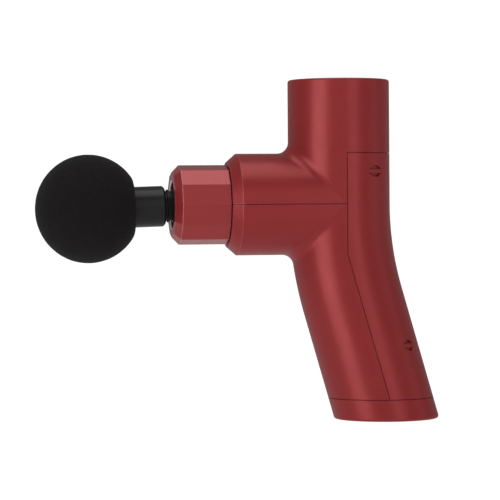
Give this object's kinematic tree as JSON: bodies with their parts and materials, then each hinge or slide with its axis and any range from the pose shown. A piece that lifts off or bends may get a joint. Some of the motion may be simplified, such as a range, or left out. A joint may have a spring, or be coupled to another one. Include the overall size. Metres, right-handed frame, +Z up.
{
  "type": "massage gun",
  "caption": "Handheld percussion massage gun: a bent metal grip tube with a side barrel, a faceted nose collar and a foam ball head on a reciprocating piston.",
  "frame": {"origin": "centre of the base's flat face", "axes": "+Z up from the base; the barrel and the head point to -X; Y across the grip, about which the outside is symmetric"},
  "size_m": [0.2005, 0.0534, 0.1685],
  "materials": {
    "body_red": "satin",
    "nose_red": "gloss",
    "foam_black": "matte",
    "stem_grey": "satin",
    "rubber_black": "satin",
    "panel_black": "gloss",
    "button_black": "satin",
    "light_pipe": "gloss",
    "moulded_black": "matte",
    "steel": "satin",
    "bearing_steel": "gloss",
    "cast_alloy": "satin",
    "bush_plastic": "satin",
    "stator_steel": "satin",
    "winding_enamel": "gloss",
    "magnet_plating": "satin",
    "circuit_green": "satin",
    "chip_white": "gloss",
    "cell_wrap": "gloss",
    "pad_foam": "matte",
    "contact_brass": "polished",
    "wire_red": "satin",
    "wire_black": "satin"
  },
  "bodies": {
    "housing": {"upper_housing": "body_red", "front_housing": "body_red", "rear_cover": "body_red", "base_cap": "body_red", "cover_screws": "steel", "screw_plugs": "body_red", "base_screws": "steel", "nose_collar": "nose_red", "nose_seal": "rubber_black", "motor_base": "cast_alloy", "motor_bearings": "bearing_steel", "stator_core": "stator_steel", "stator_coils": "winding_enamel", "drive_frame": "cast_alloy", "motor_screws": "steel", "guide_bush": "bush_plastic", "frame_damper": "rubber_black", "control_panel": "panel_black", "speed_lights": "light_pipe", "light_chips": "chip_white", "control_board": "circuit_green", "board_screws": "steel", "push_switch": "moulded_black", "battery_cells": "cell_wrap", "battery_holders": "moulded_black", "battery_pads": "pad_foam", "main_board": "circuit_green", "board_parts": "moulded_black", "motor_plug": "chip_white", "battery_plug": "chip_white", "charge_socket": "moulded_black", "contact_pin": "contact_brass", "slide_switch": "moulded_black", "motor_leads": "wire_black", "battery_leads": "wire_red"},
    "rotor": {"rotor_can": "steel", "rotor_magnets": "magnet_plating", "motor_shaft": "steel", "eccentric_crank": "cast_alloy", "crank_pin": "steel", "crank_bearings": "bearing_steel", "grub_screw": "steel"},
    "piston": {"piston": "cast_alloy", "slotted_yoke": "cast_alloy", "piston_screw": "steel"},
    "massage_head": {"massage_ball": "foam_black", "head_stem": "stem_grey", "ribbed_plug": "rubber_black"},
    "power_button": {"power_button": "button_black"},
    "switch_knob": {"switch_knob": "button_black"}
  },
  "joints": [
    {"name": "crank_turn", "type": "hinge", "parent": "housing", "child": "rotor", "pos_m": [-0.0236, 0, 0.113], "axis": [0, 0, -1], "range_deg": [-90, 90]},
    {"name": "percussion_stroke", "type": "slide", "parent": "housing", "child": "piston", "axis": [-1, 0, 0], "range_m": [-0.005, 0.005]},
    {"name": "head_pull_off", "type": "slide", "parent": "piston", "child": "massage_head", "axis": [-1, 0, 0], "range_m": [0, 0.025]},
    {"name": "power_press", "type": "slide", "parent": "housing", "child": "power_button", "axis": [0, 0, -1], "range_m": [0, 0.001], "stiffness_N_per_m": 400},
    {"name": "main_switch", "type": "slide", "parent": "housing", "child": "switch_knob", "axis": [0, 1, 0], "range_m": [0, 0.004]}
  ],
  "couplings": [
    {"joint": "crank_turn", "follows": "percussion_stroke", "rad_per_m": 314.1}
  ]
}
